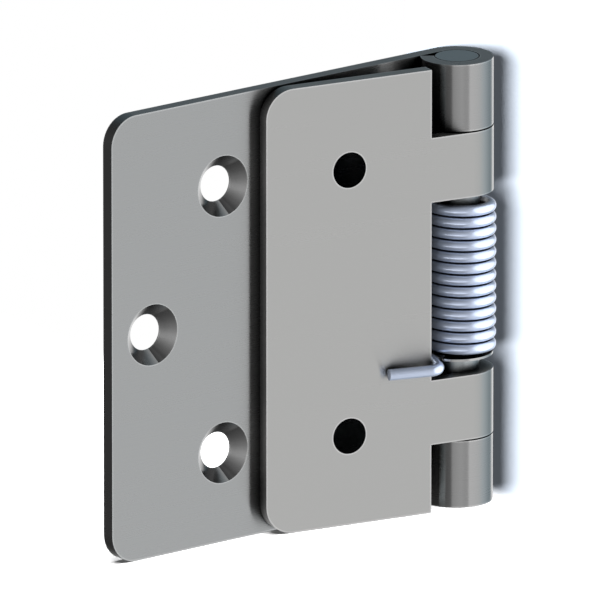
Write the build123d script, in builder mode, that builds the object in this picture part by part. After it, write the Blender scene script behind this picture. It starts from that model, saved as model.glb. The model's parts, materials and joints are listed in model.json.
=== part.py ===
"""Spring loaded door hinge: two pressed steel leaves on one pin, closed by a torsion spring.

Millimetres. +Z is up along the pin. The origin is on the wide leaf's seating face, half way between its two
inner screw holes. +X runs from the leaf's free edge towards the pin and +Y points out of the seating face.
"""

import os
from math import asin, atan2, cos, degrees, hypot, radians, sin, tan

from build123d import *

# Driving dimensions of the leaves
hinge_height = 100.0
sheet = 3.0
wide_reach = 91.5
narrow_reach = 50.7
corner_radius = 6.5
outer_knuckle = 15.0
inner_knuckle = 14.55
knuckle_gap = 0.35
eye_clearance = 2.35
curl_tip_gap = 0.13
leaf_rest_gap = 0.05

# Screw holes, each column measured from the pin's axis but the wide leaf's outer one, which keeps its
# distance from the free edge
screw_radius = 4.0
screw_land = 0.2
countersink_angle = 90.0
screw_pitch = 60.0
wide_inner_column = 60.9
wide_outer_margin = 11.2
narrow_column = 30.4

# Pin
pin_radius = 5.0
pin_chamfer = 0.3
running_clearance = 0.05
groove_depth = 0.7

# Torsion spring
wire_diameter = 2.5
coil_gap = 0.1
coil_clearance = 1.17
coil_lift = 0.5
coil_end_room = 3.05
bend_inner_radius = 1.3
bend_offset = 1.25
leg_clearance = 0.15
leg_reach = 21.5
leg_lean = 8.0

# Retaining ring, its angles measured from the narrow leaf's own direction
ring_thickness = 0.5
ring_flange = 3.0
ring_prong = 0.7
ring_relief = 0.4
ring_corner = 0.8
ring_seat_clearance = 0.15
ring_flange_start = 38.0
ring_flange_arc = 140.0
ring_mouth_arc = 84.0
ring_land_arc = 40.0

# Sizes that follow from them
eye_radius = pin_radius + sheet
narrow_bore = pin_radius + running_clearance
window_edge = eye_radius + eye_clearance
outer_window = hinge_height - 2 * outer_knuckle
inner_knuckle_top = outer_window / 2 - knuckle_gap
spring_window = 2 * (inner_knuckle_top - inner_knuckle)
rest_angle = degrees(
    atan2(narrow_bore, narrow_reach)
    + asin((pin_radius - leaf_rest_gap) / hypot(narrow_reach, narrow_bore))
)
wire_radius = wire_diameter / 2
coil_radius = pin_radius + coil_clearance + wire_radius
coil_pitch = wire_diameter + coil_gap
cut_margin = 1.0

# The pin's axis, with x running back along each leaf, and the face of each leaf seen square on
wide_axis = Plane(origin=(wide_inner_column, -eye_radius, 0))
narrow_axis = wide_axis.rotated((0, 0, -rest_angle))


def leaf_face(axis_plane, offset, side):
    """Plane on one flat of a leaf, offset from the pin's axis: x runs along the leaf, z points to side."""
    return Plane(
        origin=axis_plane.origin + axis_plane.y_dir * offset,
        x_dir=axis_plane.x_dir,
        z_dir=axis_plane.y_dir * side,
    )


def leaf_section(axis_plane, bore, reach, side):
    """Section across the pin: a flat strip, tangent to an eye that curls round the bore and stops
    just short of the strip. side is +1 or -1, the side of the axis that the strip lies on."""
    outer = bore + sheet
    wrap = 270 + degrees(asin((bore - curl_tip_gap) / outer))
    with BuildSketch(axis_plane.offset(-hinge_height / 2)) as section:
        with BuildLine():
            inner_flat = Line((-reach, side * bore), (0, side * bore))
            inner_eye = CenterArc((0, 0), bore, 90 * side, -wrap * side)
            outer_eye = CenterArc((0, 0), outer, 90 * side, -wrap * side)
            outer_flat = Line((0, side * outer), (-reach, side * outer))
            Line(inner_eye @ 1, outer_eye @ 1)
            Line(inner_flat @ 0, outer_flat @ 1)
        make_face()
    return section.sketch


def knuckle_gaps(axis_plane, heights):
    """Outlines of what is cut from the sheet and its eye between knuckles, back to the window's edge."""
    length = window_edge + eye_radius + cut_margin
    middle = length / 2 - window_edge
    with BuildSketch(leaf_face(axis_plane, 0, -1)) as gaps:
        for low, high in heights:
            with Locations((middle, (low + high) / 2)):
                Rectangle(length, high - low)
    return gaps.sketch


def screw_hole():
    """Countersink whose cone leaves only a thin land at the seating face."""
    cone_depth = sheet - screw_land
    mouth_radius = screw_radius + cone_depth * tan(radians(countersink_angle / 2))
    CounterSinkHole(screw_radius, mouth_radius, counter_sink_angle=countersink_angle)


# Wide leaf: carries the two outer knuckles, and its flat runs behind the pin
with BuildPart() as wide_leaf:
    extrude(leaf_section(wide_axis, pin_radius, wide_reach, 1), amount=hinge_height)
    window = knuckle_gaps(wide_axis, [(-outer_window / 2, outer_window / 2)])
    extrude(window, amount=eye_radius + cut_margin, both=True, mode=Mode.SUBTRACT)
    free_corners = wide_leaf.edges().filter_by(Axis.Y).group_by(Axis.X)[0]
    fillet(free_corners, corner_radius)
    with Locations(leaf_face(wide_axis, pin_radius, -1)):
        with Locations(
            (-wide_inner_column, screw_pitch / 2),
            (-wide_inner_column, -screw_pitch / 2),
            (wide_outer_margin - wide_reach, 0),
        ):
            screw_hole()
wide_leaf.part.label = "wide_leaf"

# Narrow leaf: carries the two inner knuckles, and rests with its free edge against the wide leaf
with BuildPart() as narrow_leaf:
    extrude(leaf_section(narrow_axis, narrow_bore, narrow_reach, -1), amount=hinge_height)
    past_end = hinge_height / 2 + cut_margin
    gap_heights = [
        (-past_end, -inner_knuckle_top),
        (-spring_window / 2, spring_window / 2),
        (inner_knuckle_top, past_end),
    ]
    gaps = knuckle_gaps(narrow_axis, gap_heights)
    extrude(gaps, amount=eye_radius + cut_margin, both=True, mode=Mode.SUBTRACT)
    across = Axis(narrow_axis.origin, narrow_axis.y_dir)
    along = Axis(narrow_axis.origin, narrow_axis.x_dir)
    free_corners = narrow_leaf.edges().filter_by(across).group_by(along)[0]
    fillet(free_corners, corner_radius)
    with Locations(leaf_face(narrow_axis, -narrow_bore, 1)):
        with Locations((-narrow_column, screw_pitch / 2), (-narrow_column, -screw_pitch / 2)):
            screw_hole()
narrow_leaf.part.label = "narrow_leaf"


# Torsion spring: a left-handed coil that winds up as the hinge opens. Each leg stands off its leaf where it
# bends over the window's edge, and leans in until its tip lies on the leaf's outer face.
def leg_exit(outer):
    """Angle from the leaf's direction at which the wire leaves the coil, on a line that touches both the
    coil and the bend over the window's edge, and the height of the leg's tip over the pin's axis."""
    bend_radius = bend_inner_radius + wire_radius
    tip_height = outer + leg_clearance + wire_radius
    bend_u = window_edge + bend_offset
    stand_off = (leg_reach - bend_u) * sin(radians(leg_lean))
    bend_n = tip_height + (stand_off - bend_radius) / cos(radians(leg_lean))
    rise = degrees(atan2(bend_n, bend_u) + asin((coil_radius + bend_radius) / hypot(bend_u, bend_n)))
    return 90 - rise, tip_height


upper_exit, upper_tip_height = leg_exit(eye_radius)
lower_exit, lower_tip_height = leg_exit(narrow_bore + sheet)
whole_turns = int((spring_window - 2 * coil_end_room) / coil_pitch)
coil_turns = whole_turns - (rest_angle + upper_exit + lower_exit) / 360
coil_height = coil_turns * coil_pitch
coil_bottom = coil_lift - coil_height / 2
lower_exit_angle = 180 - rest_angle - lower_exit
coil_foot = wide_axis.rotated((0, 0, lower_exit_angle)).offset(coil_bottom)


def leg_points(start, heading, axis_plane, side, tip_height):
    """Start, corner and tip of a leg: straight on from the coil, then in to its tip on the leaf."""
    outward = axis_plane.y_dir * side
    along = axis_plane.x_dir * -1
    off_the_leg = outward * cos(radians(leg_lean)) + along * sin(radians(leg_lean))
    tip = axis_plane.origin + along * leg_reach + outward * tip_height
    corner = start + heading * ((tip - start).dot(off_the_leg) / heading.dot(off_the_leg))
    return start, corner, tip + axis_plane.z_dir * corner.Z


def swept_wire(path):
    """Round wire along a path, as part of the spring."""
    with BuildSketch(Plane(origin=path @ 0, z_dir=path % 0)) as wire_end:
        Circle(wire_radius)
    sweep(wire_end.sketch, path=path)


coil = coil_foot * Helix(coil_pitch, coil_height, coil_radius, lefthand=True)
lower_leg = leg_points(coil @ 0, (coil % 0) * -1, narrow_axis, -1, lower_tip_height)
upper_leg = leg_points(coil @ 1, coil % 1, wide_axis, 1, upper_tip_height)

with BuildPart() as torsion_spring:
    swept_wire(coil)
    for leg in (lower_leg, upper_leg):
        with BuildLine() as leg_path:
            FilletPolyline(*leg, radius=bend_inner_radius + wire_radius)
        swept_wire(leg_path.wire())
torsion_spring.part.label = "torsion_spring"

# Retaining ring: turns in the pin's groove with the lower leg, and its flange keeps the last coil up
flange_start = 180 + ring_flange_start
flange_end = flange_start + ring_flange_arc
ring_start = flange_start + ring_flange_arc / 2 - 180 + ring_mouth_arc / 2
ring_arc = 360 - ring_mouth_arc
relief_arc = (ring_arc - 3 * ring_land_arc) / 2
turn_over_flange = (180 - lower_exit - flange_end) % 360 / 360
ring_top = coil_bottom + coil_pitch * turn_over_flange - wire_radius - ring_seat_clearance
ring_bore = pin_radius - groove_depth + running_clearance


def arc_band(inner, outer, start, arc, mode=Mode.ADD):
    """Stretch of a flat band between two radii, added to or cut from the ring's outline."""
    with BuildLine() as band:
        inside = CenterArc((0, 0), inner, start, arc)
        outside = CenterArc((0, 0), outer, start, arc)
        Line(inside @ 0, outside @ 0)
        Line(inside @ 1, outside @ 1)
    make_face(band.line.edges(), mode=mode)


with BuildPart() as retaining_ring:
    with BuildSketch(narrow_axis.offset(ring_top - ring_thickness)) as ring_outline:
        arc_band(ring_bore, pin_radius + ring_prong, ring_start, ring_arc)
        arc_band(ring_bore, pin_radius + ring_flange, flange_start, ring_flange_arc)
        for relief in range(2):
            start = ring_start + ring_land_arc + relief * (relief_arc + ring_land_arc)
            arc_band(ring_bore - ring_relief, ring_bore + ring_relief, start, relief_arc, Mode.SUBTRACT)
        flange_corners = ring_outline.vertices().sort_by_distance((0, 0))[-2:]
        fillet(flange_corners, ring_corner)
    extrude(amount=ring_thickness)
retaining_ring.part.label = "retaining_ring"

# Pin: pressed into the wide leaf's knuckles and free in the narrow leaf's, flush with the hinge's ends
with BuildPart() as hinge_pin:
    with BuildSketch(wide_axis.offset(-hinge_height / 2)):
        Circle(pin_radius)
    extrude(amount=hinge_height)
    chamfer(hinge_pin.edges().filter_by(GeomType.CIRCLE), pin_chamfer)
    with BuildSketch(wide_axis.offset(ring_top - ring_thickness - running_clearance)):
        Circle(pin_radius)
        Circle(pin_radius - groove_depth, mode=Mode.SUBTRACT)
    extrude(amount=ring_thickness + 2 * running_clearance, mode=Mode.SUBTRACT)
hinge_pin.part.label = "hinge_pin"

os.makedirs("parts", exist_ok=True)
for piece in (wide_leaf, narrow_leaf, hinge_pin, torsion_spring, retaining_ring):
    export_step(piece.part, f"parts/{piece.part.label}.step")
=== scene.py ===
import json
from math import asin, atan2, ceil, cos, hypot, pi, radians, sin, tan

import bpy
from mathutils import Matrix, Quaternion, Vector


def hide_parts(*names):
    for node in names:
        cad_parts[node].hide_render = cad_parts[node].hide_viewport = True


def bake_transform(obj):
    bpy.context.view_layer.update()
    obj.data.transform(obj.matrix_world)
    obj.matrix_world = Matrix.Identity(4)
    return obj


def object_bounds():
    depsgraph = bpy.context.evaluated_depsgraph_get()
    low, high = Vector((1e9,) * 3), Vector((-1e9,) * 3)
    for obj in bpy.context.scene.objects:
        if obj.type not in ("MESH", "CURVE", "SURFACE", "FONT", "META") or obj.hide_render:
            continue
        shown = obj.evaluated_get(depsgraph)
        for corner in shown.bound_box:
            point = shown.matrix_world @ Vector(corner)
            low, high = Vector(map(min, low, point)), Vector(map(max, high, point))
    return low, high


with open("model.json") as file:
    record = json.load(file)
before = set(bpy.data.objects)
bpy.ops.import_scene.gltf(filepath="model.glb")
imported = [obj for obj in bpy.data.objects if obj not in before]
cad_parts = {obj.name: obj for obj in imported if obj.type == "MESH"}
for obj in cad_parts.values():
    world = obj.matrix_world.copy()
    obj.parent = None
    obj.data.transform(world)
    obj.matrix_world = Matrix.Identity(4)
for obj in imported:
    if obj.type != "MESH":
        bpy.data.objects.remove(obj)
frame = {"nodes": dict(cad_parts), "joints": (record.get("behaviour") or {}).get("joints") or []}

cad_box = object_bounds()

# View: the hinge stands closed on its lower end, seen from its free edges and a little from above, through
# a lens so long that its parallel edges stay parallel.
pin_middle = Vector(frame["joints"][0]["pos_m"])
view_azimuth = radians(-38.54)
view_elevation = radians(15.8)
view_distance = 5.447
aim_left_of_pin = 0.0341
aim_below_middle = 0.00501
rightward = Vector((cos(view_azimuth), sin(view_azimuth), 0))
level_forward = Vector((sin(view_azimuth), -cos(view_azimuth), 0))


def back_along(azimuth, elevation):
    """Direction from the hinge back to what looks at it or lights it."""
    return Vector((sin(azimuth) * cos(elevation), -cos(azimuth) * cos(elevation), sin(elevation)))


def placed(name, data):
    """A new object of the scene."""
    piece = bpy.data.objects.new(name, data)
    bpy.context.scene.collection.objects.link(piece)
    return piece


def turned_to(piece, back):
    """Turns a camera or lamp so that it looks from the direction back."""
    piece.rotation_mode = "QUATERNION"
    piece.rotation_quaternion = back.to_track_quat("Z", "Y")


towards_camera = back_along(view_azimuth, view_elevation)
upward = towards_camera.cross(rightward)
aim = pin_middle - rightward * aim_left_of_pin - upward * aim_below_middle
camera = placed("camera", bpy.data.cameras.new("camera"))
camera.data.lens = 1500
camera.data.sensor_width = 36
camera.data.clip_end = 20
camera.location = aim + towards_camera * view_distance
turned_to(camera, towards_camera)
bpy.context.scene.camera = camera
bpy.context.scene.view_settings.view_transform = "Standard"

# Studio: a dark room with a broad grey card before the hinge, a tall soft light at its right that falls off
# to the back, and a white sheet behind it. The camera sees white all round, and the steel sees the sheet
# only where it hangs.
brightness = 1.3

# Edges, greys and colours by degrees to the right of the camera's side
light_edge = (36, 44)
sheet_edge = (136, 152)
dark_side = [(-180, 0.05), (-62, 0.045), (-47, 0.11), (-30, 0.14), (-16.5, 0.17)]
grey_card = [(-13.5, 0.43), (6, 0.49), (16, 0.52), (38.5, 0.38)]
tall_light = [
    (41.5, 0.77),
    (60, 0.745),
    (78, (0.69, 0.7, 0.7)),
    (95, (0.56, 0.62, 0.65)),
    (130, (0.27, 0.33, 0.36)),
]

# Greys and colours by degrees above the level
card_heights = [(-90, 0.15), (-50, 0.33), (-16, 0.77), (5, 1.0), (44, 0.35), (90, 0.15)]
light_heights = [(-90, 0.2), (-65, 0.75), (-35, 0.9), (-16, 0.77), (5, 0.5), (45, 0.3), (90, 0.2)]
sheet_heights = [
    (-90, 0.05),
    (-40, 0.15),
    (-22, 1.0),
    (-9, 1.0),
    (3, 0.28),
    (12, (0.13, 0.17, 0.19)),
    (90, (0.05, 0.06, 0.07)),
]


def emptied_tree(owner):
    """The node tree of a world or material, with nothing in it yet."""
    owner.use_nodes = True
    owner.node_tree.nodes.clear()
    return owner.node_tree


def joined(tree, kind, inputs=(), **settings):
    """A node with its settings, each input given a value or fed by another node's output."""
    node = tree.nodes.new(kind)
    for name, value in settings.items():
        setattr(node, name, value)
    for socket, value in dict(inputs).items():
        if isinstance(value, bpy.types.NodeSocket):
            tree.links.new(value, node.inputs[socket])
        else:
            node.inputs[socket].default_value = value
    return node


def sums(tree, operation, *values):
    """One step of arithmetic."""
    return joined(tree, "ShaderNodeMath", enumerate(values), operation=operation).outputs[0]


def scaled(tree, vector, factor):
    """A colour or vector, times a factor."""
    return joined(tree, "ShaderNodeVectorMath", {0: vector, "Scale": factor}, operation="SCALE").outputs[0]


def agreement(tree, first, second):
    """How far two directions agree, from 1 for the same to -1 for opposite."""
    inputs = {0: first, 1: second}
    return joined(tree, "ShaderNodeVectorMath", inputs, operation="DOT_PRODUCT").outputs["Value"]


def mixed(tree, factor, first, second, blend_type="MIX"):
    """One colour over another."""
    inputs = {0: factor, 6: first, 7: second}
    return joined(tree, "ShaderNodeMix", inputs, data_type="RGBA", blend_type=blend_type).outputs[2]


def share_between(tree, value, low, high, kind="LINEAR"):
    """How far a value is on its way from low to high, from 0 to 1."""
    inputs = {"Value": value, "From Min": low, "From Max": high}
    return joined(tree, "ShaderNodeMapRange", inputs, interpolation_type=kind).outputs[0]


def ramp(tree, value, low, high, stops):
    """Tones that follow a value, by stops of (value, grey or colour) between low and high."""
    node = joined(tree, "ShaderNodeValToRGB", {"Fac": share_between(tree, value, low, high)})
    elements = node.color_ramp.elements
    while len(elements) < len(stops):
        elements.new(0.5)
    for element, (stop, tone) in zip(elements, stops):
        element.position = (stop - low) / (high - low)
        element.color = (*(tone if isinstance(tone, tuple) else (tone, tone, tone)), 1)
    return node.outputs["Color"]


world = bpy.data.worlds.new("studio")
bpy.context.scene.world = world
world.cycles.sampling_method = "NONE"
room = emptied_tree(world)
direction = joined(room, "ShaderNodeTexCoord").outputs["Generated"]
to_right, to_front = agreement(room, direction, rightward), agreement(room, direction, level_forward)
degrees_right = sums(room, "DEGREES", sums(room, "ARCTAN2", to_right, to_front))
to_ceiling = joined(room, "ShaderNodeSeparateXYZ", {0: direction}).outputs["Z"]
degrees_up = sums(room, "DEGREES", sums(room, "ARCSINE", to_ceiling))

round_the_room = ramp(room, degrees_right, -180, 180, dark_side + grey_card + tall_light)
up_the_card = ramp(room, degrees_up, -90, 90, card_heights)
up_the_light = ramp(room, degrees_up, -90, 90, light_heights)
up_the_sheet = ramp(room, degrees_up, -90, 90, sheet_heights)
up_the_walls = mixed(room, share_between(room, degrees_right, *light_edge), up_the_card, up_the_light)
walls = scaled(room, mixed(room, 1.0, round_the_room, up_the_walls, "MULTIPLY"), brightness)

ray = joined(room, "ShaderNodeLightPath").outputs
mirrored = sums(room, "MAXIMUM", ray["Is Glossy Ray"], ray["Is Transmission Ray"])
behind = share_between(room, sums(room, "ABSOLUTE", degrees_right), *sheet_edge, "SMOOTHSTEP")
steel_sees = mixed(room, sums(room, "MULTIPLY", behind, mirrored), walls, up_the_sheet)
seen = mixed(room, ray["Is Camera Ray"], steel_sees, (1, 1, 1, 1))
studio = joined(room, "ShaderNodeBackground", {"Color": seen, "Strength": 1.0}).outputs[0]
joined(room, "ShaderNodeOutputWorld", {"Surface": studio})

# Floor and board: the hinge stands on a plain floor that fades out under its pin, and a plain board stands
# behind, beside the pin. Each shows from its front alone, and has a soft lamp that lights nothing else, so
# that both are white but for the hinge's shadow.
stage_reach = 3.0
floor_height = cad_box[0][2] - 0.0001
floor_end = pin_middle.x + 0.013
fade_width = 0.011
board_start = pin_middle.x - 0.004
board_depth = 0.0045


def rectangle(start, end):
    """Corners of a rectangle between two opposite ones, in order."""
    return [start, (end[0], start[1]), end, (start[0], end[1])]


floor_corners = rectangle((-stage_reach, -stage_reach), (floor_end, stage_reach))
board_corners = rectangle((board_start, -stage_reach), (stage_reach, stage_reach))
backdrops = {
    "floor": ([(x, y, floor_height) for x, y in floor_corners], (0.8, 0.8, 0.8)),
    "board": ([(x, board_depth, z) for x, z in board_corners], (0.178, 0.196, 0.222)),
}
backdrop_lamps = {
    "floor": {"azimuth": -20, "elevation": 75, "softness": 60, "strength": 10.0},
    "board": {"azimuth": -49.8, "elevation": 13.4, "softness": 14, "strength": 40.0},
}


def object_place(tree):
    """X, Y and Z of the shaded point on its object."""
    place = joined(tree, "ShaderNodeTexCoord").outputs["Object"]
    return joined(tree, "ShaderNodeSeparateXYZ", {0: place}).outputs


def painted(name, tone, right_end):
    """Matt paint on a backdrop's front, clear from behind and fading out before its right end."""
    paint = bpy.data.materials.new(f"{name}_paint")
    tree = emptied_tree(paint)
    matt = joined(tree, "ShaderNodeBsdfDiffuse", {"Color": (*tone, 1)}).outputs[0]
    clear = joined(tree, "ShaderNodeBsdfTransparent").outputs[0]
    from_behind = joined(tree, "ShaderNodeNewGeometry").outputs["Backfacing"]
    fade_start = right_end - fade_width
    faded = share_between(tree, object_place(tree)["X"], fade_start, right_end, "SMOOTHSTEP")
    unseen = sums(tree, "MAXIMUM", from_behind, faded)
    shown = joined(tree, "ShaderNodeMixShader", {0: unseen, 1: matt, 2: clear}).outputs[0]
    joined(tree, "ShaderNodeOutputMaterial", {"Surface": shown})
    return paint


def lights_only(lamp, piece):
    """Keeps a lamp's light to one piece."""
    alone = bpy.data.collections.new(f"{lamp.name}_alone")
    alone.objects.link(piece)
    lamp.light_linking.receiver_collection = alone


def soft_lamp(name, piece, azimuth, elevation, softness, strength):
    """A far, soft lamp that lights one piece alone. Its angles are in degrees."""
    lamp = placed(f"{name}_lamp", bpy.data.lights.new(f"{name}_lamp", "SUN"))
    lamp.data.angle = radians(softness)
    lamp.data.energy = strength
    turned_to(lamp, back_along(radians(azimuth), radians(elevation)))
    lights_only(lamp, piece)


for name, (corners, tone) in backdrops.items():
    mesh = bpy.data.meshes.new(name)
    mesh.from_pydata(corners, [], [(0, 1, 2, 3)])
    right_end = max(x for x, y, z in corners)
    mesh.materials.append(painted(name, tone, right_end))
    backdrop = placed(name, mesh)
    for rays in ("visible_diffuse", "visible_glossy", "visible_transmission", "visible_shadow"):
        setattr(backdrop, rays, False)
    soft_lamp(name, backdrop, **backdrop_lamps[name])

# Leaves: 3 mm steel plate, blanked with their countersunk holes and curled round the pin. Their flats are
# brushed along their length, so a reflection spreads up and down but stays sharp from side to side.
streak_bump = 0.00001
squarest_edge_highlight, fully_edge_highlight = 0.999, 0.992


def started_group(name, inputs, outputs):
    """A shader node group with its named inputs, each with a usual value, and its named outputs."""
    group = bpy.data.node_groups.new(name, "ShaderNodeTree")
    for socket_name, (kind, value) in inputs.items():
        socket = group.interface.new_socket(name=socket_name, in_out="INPUT", socket_type=kind)
        socket.default_value = value
    for socket_name, kind in outputs.items():
        group.interface.new_socket(name=socket_name, in_out="OUTPUT", socket_type=kind)
    return group, joined(group, "NodeGroupInput").outputs


# The grain group gives the brushed grain, with a painted highlight along every edge.
grain_and_highlight_group, grain = started_group(
    "brushed_grain_and_edge_highlight",
    {
        "Tone": ("NodeSocketColor", (0.6, 0.6, 0.6, 1)),
        "Tone Change": ("NodeSocketFloat", 0.05),
        "Roughness": ("NodeSocketFloat", 0.28),
        "Roughness Change": ("NodeSocketFloat", 0.05),
        "Depth": ("NodeSocketFloat", 0.1),
        "Edge Radius": ("NodeSocketFloat", 0.0003),
    },
    {"Colour": "NodeSocketColor", "Roughness": "NodeSocketFloat", "Normal": "NodeSocketVector"},
)


def stretched_noise(streaks_per_metre, detail):
    """Noise drawn out along the leaf, about its mean."""
    place = joined(grain_and_highlight_group, "ShaderNodeTexCoord").outputs["Object"]
    squeezed = joined(grain_and_highlight_group, "ShaderNodeMapping", {"Vector": place, "Scale": streaks_per_metre})
    inputs = {"Vector": squeezed.outputs[0], "Scale": 1.0, "Detail": detail}
    noise = joined(grain_and_highlight_group, "ShaderNodeTexNoise", inputs).outputs["Fac"]
    return sums(grain_and_highlight_group, "SUBTRACT", noise, 0.5)


fine_streaks = stretched_noise((60, 60, 9000), detail=3)
broad_streaks = stretched_noise((14, 14, 420), detail=2)
streaks = sums(grain_and_highlight_group, "ADD", fine_streaks, broad_streaks)
tone_share = sums(grain_and_highlight_group, "ADD", sums(grain_and_highlight_group, "MULTIPLY", streaks, grain["Tone Change"]), 1.0)
brushed = scaled(grain_and_highlight_group, grain["Tone"], tone_share)
roughness_change = sums(grain_and_highlight_group, "MULTIPLY", streaks, grain["Roughness Change"])
rough = sums(grain_and_highlight_group, "ADD", roughness_change, grain["Roughness"])
bump = {"Strength": grain["Depth"], "Distance": streak_bump, "Height": fine_streaks}
scored = joined(grain_and_highlight_group, "ShaderNodeBump", bump).outputs[0]

# Painted highlight: a thin line along every edge is painted bright, where its faces meet.
bevel_normal = joined(grain_and_highlight_group, "ShaderNodeBevel", {"Radius": grain["Edge Radius"]}, samples=4).outputs[0]
face_normal = joined(grain_and_highlight_group, "ShaderNodeNewGeometry").outputs["Normal"]
squareness = agreement(grain_and_highlight_group, bevel_normal, face_normal)
edge_highlight = share_between(grain_and_highlight_group, squareness, squarest_edge_highlight, fully_edge_highlight)
edge_highlight_colour = mixed(grain_and_highlight_group, edge_highlight, brushed, (1, 1, 1, 1))
joined(grain_and_highlight_group, "NodeGroupOutput", {"Colour": edge_highlight_colour, "Roughness": rough, "Normal": scored})

# The countersinks are cut after the brushing. Painted shading: each one is painted lighter and darker round
# its hole, as light falls on it, with a sharp step near its foot.
cone_facing = 0.7
facing_band = 0.2
curl_start = 0.045
row_pitch = 0.03
cone_light_strength = 1.5
cone_light_stops = [
    (0, 0.17),
    (25, 0.4),
    (55, 0.61),
    (80, 0.46),
    (110, 0.4),
    (140, 0.26),
    (170, 0.11),
    (250, 0.3),
    (320, 0.33),
    (340, 0.48),
    (358, 1.0),
]
cone_group, holes = started_group(
    "cut_cones",
    {
        "Outer Column": ("NodeSocketFloat", 0.0),
        "Middle Column": ("NodeSocketFloat", 0.0),
        "Seam": ("NodeSocketFloat", -76.0),
    },
    {"Cone": "NodeSocketFloat", "Painted Light": "NodeSocketColor"},
)
spot = object_place(cone_group)
cone_normal = joined(cone_group, "ShaderNodeTexCoord").outputs["Normal"]
facing = joined(cone_group, "ShaderNodeSeparateXYZ", {0: cone_normal}).outputs["Y"]
off_cone = sums(cone_group, "SUBTRACT", sums(cone_group, "ABSOLUTE", facing), cone_facing)
slanted = sums(cone_group, "LESS_THAN", sums(cone_group, "ABSOLUTE", off_cone), facing_band)
on_flat = sums(cone_group, "LESS_THAN", spot["X"], curl_start)
cone = sums(cone_group, "MULTIPLY", slanted, on_flat)

row_height = sums(cone_group, "SNAP", sums(cone_group, "ADD", spot["Z"], row_pitch / 2), row_pitch)
outer_row = sums(cone_group, "GREATER_THAN", sums(cone_group, "ABSOLUTE", row_height), row_pitch / 2)
columns = {0: outer_row, 2: holes["Middle Column"], 3: holes["Outer Column"]}
column = joined(cone_group, "ShaderNodeMix", columns, data_type="FLOAT").outputs[0]
above_hole = sums(cone_group, "SUBTRACT", spot["Z"], row_height)
beside_hole = sums(cone_group, "SUBTRACT", spot["X"], column)
turned = sums(cone_group, "DEGREES", sums(cone_group, "ARCTAN2", above_hole, beside_hole))
past_seam = sums(cone_group, "SUBTRACT", turned, holes["Seam"])
from_seam = sums(cone_group, "FLOORED_MODULO", past_seam, 360.0)
# Painted light and shade round each countersink, starting from its step.
cone_lit_colour = scaled(cone_group, ramp(cone_group, from_seam, 0, 360, cone_light_stops), cone_light_strength)
painted_cone_light = mixed(cone_group, cone, (1, 1, 1, 1), cone_lit_colour)
joined(cone_group, "NodeGroupOutput", {"Cone": cone, "Painted Light": painted_cone_light})

# Painted shade: every finish is darkened in its corners and in the holes, more so over a ledge than under
# one, where shade falls.
darkest_corner, open_face = 0.27, 0.74
deepest_shade_share = 0.02
corner_shade_group, unshaded = started_group(
    "painted_corner_shade",
    {
        "Colour": ("NodeSocketColor", (0.6, 0.6, 0.6, 1)),
        "Reach": ("NodeSocketFloat", 0.008),
        "Shade Tilt": ("NodeSocketFloat", 0.0),
    },
    {"Colour": "NodeSocketColor"},
)
shade_fall = sums(corner_shade_group, "MULTIPLY", unshaded["Shade Tilt"], -1.0)
downward = joined(corner_shade_group, "ShaderNodeCombineXYZ", {"Z": shade_fall}).outputs[0]
shade_normal = joined(corner_shade_group, "ShaderNodeNewGeometry").outputs["Normal"]
tilt_inputs = {0: shade_normal, 1: downward}
tilted_normal = joined(corner_shade_group, "ShaderNodeVectorMath", tilt_inputs, operation="ADD").outputs[0]
shade_side = joined(corner_shade_group, "ShaderNodeVectorMath", {0: tilted_normal}, operation="NORMALIZE").outputs[0]
hidden = {"Distance": unshaded["Reach"], "Normal": shade_side}
openness = joined(corner_shade_group, "ShaderNodeAmbientOcclusion", hidden, samples=12).outputs["AO"]
shade_range = {
    "Value": openness,
    "From Min": darkest_corner,
    "From Max": open_face,
    "To Min": deepest_shade_share,
}
unshaded_share = joined(corner_shade_group, "ShaderNodeMapRange", shade_range, interpolation_type="SMOOTHSTEP").outputs[0]
joined(corner_shade_group, "NodeGroupOutput", {"Colour": scaled(corner_shade_group, unshaded["Colour"], unshaded_share)})


def corner_shaded(tree, colour, reach, shade_tilt):
    """A finish's colour, darkened by painted shade in its corners."""
    inputs = {"Colour": colour, "Reach": reach, "Shade Tilt": shade_tilt}
    return joined(tree, "ShaderNodeGroup", inputs, node_tree=corner_shade_group).outputs["Colour"]


# Highlights spread up and down, and just enough aslant that the level faces have a direction for them too.
spread_direction = {"X": 0.02, "Y": 0.035, "Z": 1.0}
steel_shade_tilt = 0.95
cone_polish = 0.13


def brushed_steel(name, tone, grain_values, spread, shade_reach, hole_columns=None):
    """Bare steel with the brushed grain, and with cut countersinks where it has columns of holes."""
    # The steel's colour has painted edge highlights, painted shade in its corners and painted shading on
    # its countersinks.
    steel = bpy.data.materials.new(name)
    tree = emptied_tree(steel)
    inputs = {"Tone": (*tone, 1), **grain_values}
    surface = joined(tree, "ShaderNodeGroup", inputs, node_tree=grain_and_highlight_group).outputs
    colour, roughness = surface["Colour"], surface["Roughness"]
    if hole_columns:
        inputs = dict(zip(("Outer Column", "Middle Column"), hole_columns))
        cones = joined(tree, "ShaderNodeGroup", inputs, node_tree=cone_group).outputs
        # Painted shading on the countersinks.
        colour = mixed(tree, 1.0, colour, cones["Painted Light"], "MULTIPLY")
        roughness = sums(tree, "SUBTRACT", roughness, sums(tree, "MULTIPLY", cones["Cone"], cone_polish))
    shader = joined(
        tree,
        "ShaderNodeBsdfPrincipled",
        {
            # The base colour has painted shade in its corners.
            "Base Color": corner_shaded(tree, colour, shade_reach, steel_shade_tilt),
            "Roughness": roughness,
            "Normal": surface["Normal"],
            "Metallic": 1.0,
            "Anisotropic": spread,
            "Tangent": joined(tree, "ShaderNodeCombineXYZ", spread_direction).outputs[0],
        },
    )
    joined(tree, "ShaderNodeOutputMaterial", {"Surface": shader.outputs[0]})
    return steel


def dress(node_name, material):
    """Gives a CAD node its finish."""
    for slot in frame["nodes"][node_name].material_slots:
        slot.material = material


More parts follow.
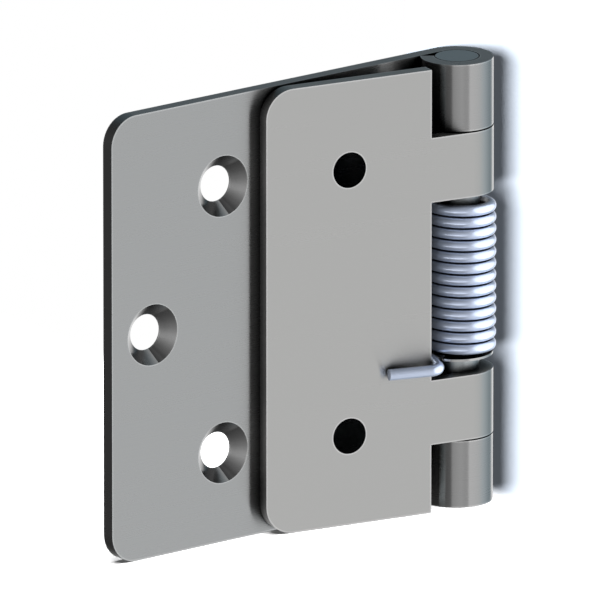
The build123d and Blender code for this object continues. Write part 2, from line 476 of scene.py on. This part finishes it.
leaf_grain = {"Roughness": 0.28, "Edge Radius": 0.0005}
wide_leaf_steel = brushed_steel(
    "wide_leaf_steel",
    (0.62, 0.62, 0.62),
    {**leaf_grain, "Roughness Change": 0.05, "Tone Change": 0.08, "Depth": 0.15},
    spread=1.0,
    shade_reach=0.014,
    hole_columns=(0.0, -0.0194),
)
dress("wide_leaf", wide_leaf_steel)
narrow_leaf_steel = brushed_steel(
    "narrow_leaf_steel",
    (0.66, 0.66, 0.65),
    {**leaf_grain, "Roughness Change": 0.02, "Tone Change": 0.02, "Depth": 0.05},
    spread=1.0,
    shade_reach=0.014,
    hole_columns=(0.0305, 0.0305),
)
dress("narrow_leaf", narrow_leaf_steel)

# Pin and retaining ring: the pin is drawn steel bar with turned ends, pressed into the outer knuckles. The
# ring is stamped from thin bright strip and snapped into the pin's groove under the last coil.
pin_steel = brushed_steel(
    "pin_steel",
    (0.64, 0.68, 0.7),
    {
        "Roughness": 0.3,
        "Roughness Change": 0.03,
        "Tone Change": 0.03,
        "Depth": 0.05,
        "Edge Radius": 0.0003,
    },
    spread=0.5,
    shade_reach=0.003,
)
dress("hinge_pin", pin_steel)
ring_steel = brushed_steel(
    "ring_steel",
    (0.75, 0.75, 0.75),
    {
        "Roughness": 0.25,
        "Roughness Change": 0.02,
        "Tone Change": 0.02,
        "Depth": 0.03,
        "Edge Radius": 0.00008,
    },
    spread=0.3,
    shade_reach=0.003,
)
dress("retaining_ring", ring_steel)

# Torsion spring: one length of bright plated wire, wound cold into thirteen turns round the pin. Each end
# leaves the coil on a straight line, bends over the window's edge and leans in to its tip on its leaf.
wire_radius = 0.00125
coil_radius = 0.00742
coil_pitch = 0.0026
whole_turns = 13
coil_lift = 0.0005
bend_radius = 0.00255
bend_from_axis = 0.0116
wide_tip_height = 0.0094
narrow_tip_height = 0.00945
leg_reach = 0.0215
leg_lean = radians(8)
rest_angle = radians(11.2634)
points_per_turn = 48
points_per_bend = 14
wire_sides = 24


def leg_exit(tip_height):
    """Angle from the leaf's direction at which the wire leaves the coil towards its bend."""
    stand_off = (leg_reach - bend_from_axis) * sin(leg_lean)
    bend_height = tip_height + (stand_off - bend_radius) / cos(leg_lean)
    bend_rise = atan2(bend_height, bend_from_axis)
    return pi / 2 - bend_rise - asin((coil_radius + bend_radius) / hypot(bend_from_axis, bend_height))


def bent_leg(start, heading, along, outward, tip_height):
    """Points from the coil's end round the bend and on to the leg's tip."""
    off_the_leg = outward * cos(leg_lean) + along * sin(leg_lean)
    tip = pin_middle + along * leg_reach + outward * tip_height
    corner = start + heading * ((tip - start).dot(off_the_leg) / heading.dot(off_the_leg))
    tip.z = corner.z
    to_coil, to_tip = (start - corner).normalized(), (tip - corner).normalized()
    half = to_coil.angle(to_tip) / 2
    centre = corner + (to_coil + to_tip).normalized() * bend_radius / sin(half)
    first_spoke = corner + to_coil * bend_radius / tan(half) - centre
    last_spoke = corner + to_tip * bend_radius / tan(half) - centre
    turn = first_spoke.rotation_difference(last_spoke)
    bend = [
        centre + Quaternion().slerp(turn, step / points_per_bend) @ first_spoke
        for step in range(points_per_bend + 1)
    ]
    return bend + [tip]


lower_exit, upper_exit = leg_exit(narrow_tip_height), leg_exit(wide_tip_height)
coil_turns = whole_turns - (rest_angle + lower_exit + upper_exit) / (2 * pi)
coil_height = coil_turns * coil_pitch
coil_bottom = pin_middle.z + coil_lift - coil_height / 2
first_angle = pi - rest_angle - lower_exit
last_angle = first_angle - 2 * pi * coil_turns
coil_steps = ceil(coil_turns * points_per_turn)
coil = []
for step in range(coil_steps + 1):
    share = step / coil_steps
    angle = first_angle + (last_angle - first_angle) * share
    height = coil_bottom - pin_middle.z + coil_height * share
    coil.append(pin_middle + Vector((coil_radius * cos(angle), coil_radius * sin(angle), height)))
slope = coil_pitch / (2 * pi * coil_radius)
down_and_off = Vector((-sin(first_angle), cos(first_angle), -slope)).normalized()
up_and_off = Vector((sin(last_angle), -cos(last_angle), slope)).normalized()
narrow_along = Vector((-cos(rest_angle), sin(rest_angle), 0))
narrow_outward = Vector((-sin(rest_angle), -cos(rest_angle), 0))
wide_along, wide_outward = Vector((-1, 0, 0)), Vector((0, 1, 0))
lower_leg = bent_leg(coil[0], down_and_off, narrow_along, narrow_outward, narrow_tip_height)
upper_leg = bent_leg(coil[-1], up_and_off, wide_along, wide_outward, wide_tip_height)
wire_line = lower_leg[::-1] + coil + upper_leg

winding = bpy.data.node_groups.new("wound_wire", "GeometryNodeTree")
sockets = {
    name: winding.interface.new_socket(name=name, in_out=in_out, socket_type=kind).identifier
    for name, in_out, kind in [
        ("Path", "INPUT", "NodeSocketGeometry"),
        ("Wire Radius", "INPUT", "NodeSocketFloat"),
        ("Sides", "INPUT", "NodeSocketInt"),
        ("Finish", "INPUT", "NodeSocketMaterial"),
        ("Wire", "OUTPUT", "NodeSocketGeometry"),
    ]
}
asked = joined(winding, "NodeGroupInput").outputs
round_wire = {"Resolution": asked["Sides"], "Radius": asked["Wire Radius"]}
section = joined(winding, "GeometryNodeCurvePrimitiveCircle", round_wire).outputs["Curve"]
wire_sweep = {"Curve": asked["Path"], "Profile Curve": section, "Fill Caps": True}
tube = joined(winding, "GeometryNodeCurveToMesh", wire_sweep).outputs["Mesh"]
real = joined(winding, "GeometryNodeRealizeInstances", {"Geometry": tube}).outputs["Geometry"]
plated = joined(winding, "GeometryNodeSetMaterial", {"Geometry": real, "Material": asked["Finish"]})
joined(winding, "NodeGroupOutput", {"Wire": plated.outputs["Geometry"]})

plated_wire = bpy.data.materials.new("plated_wire")
wire_tree = emptied_tree(plated_wire)
# Painted shade darkens the wire's colour in its corners, between the turns.
wire_colour = corner_shaded(wire_tree, (0.7, 0.79, 0.99, 1), reach=0.004, shade_tilt=0.0)
plating = {"Base Color": wire_colour, "Roughness": 0.27, "Metallic": 0.65}
wire_shader = joined(wire_tree, "ShaderNodeBsdfPrincipled", plating)
joined(wire_tree, "ShaderNodeOutputMaterial", {"Surface": wire_shader.outputs[0]})

spring_path = bpy.data.curves.new("torsion_spring_path", "CURVE")
spring_path.dimensions = "3D"
wire = spring_path.splines.new("POLY")
wire.points.add(len(wire_line) - 1)
for point, position in zip(wire.points, wire_line):
    point.co = (*position, 1)
path_object = placed("torsion_spring_path", spring_path)
modifier = path_object.modifiers.new("winding", "NODES")
modifier.node_group = winding
modifier[sockets["Wire Radius"]] = wire_radius
modifier[sockets["Sides"]] = wire_sides
modifier[sockets["Finish"]] = plated_wire
wound = path_object.evaluated_get(bpy.context.evaluated_depsgraph_get())
spring = placed("torsion_spring_wire", bpy.data.meshes.new_from_object(wound))
bpy.data.objects.remove(path_object)
spring.data.shade_smooth()
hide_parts("torsion_spring")
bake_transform(spring)

# Spring lamps: bright plating shows mostly what is round it, so the wire has its own soft light from the
# right, a weaker one from behind, and a long strip from low in front, under the camera.
soft_lamp("spring", spring, azimuth=58, elevation=5, softness=90, strength=2.2)
soft_lamp("spring_back", spring, azimuth=200, elevation=30, softness=90, strength=1.6)
strip_distance = 2.5
strip_azimuth = view_azimuth - radians(3)
strip_elevation = radians(-19)
strip_back = back_along(strip_azimuth, strip_elevation)
strip = placed("strip_lamp", bpy.data.lights.new("strip_lamp", "AREA"))
strip.data.shape = "RECTANGLE"
strip.data.size = 3.2
strip.data.size_y = 0.15
strip.data.energy = 8.0
strip.location = pin_middle + strip_back * strip_distance
turned_to(strip, strip_back)
lights_only(strip, spring)
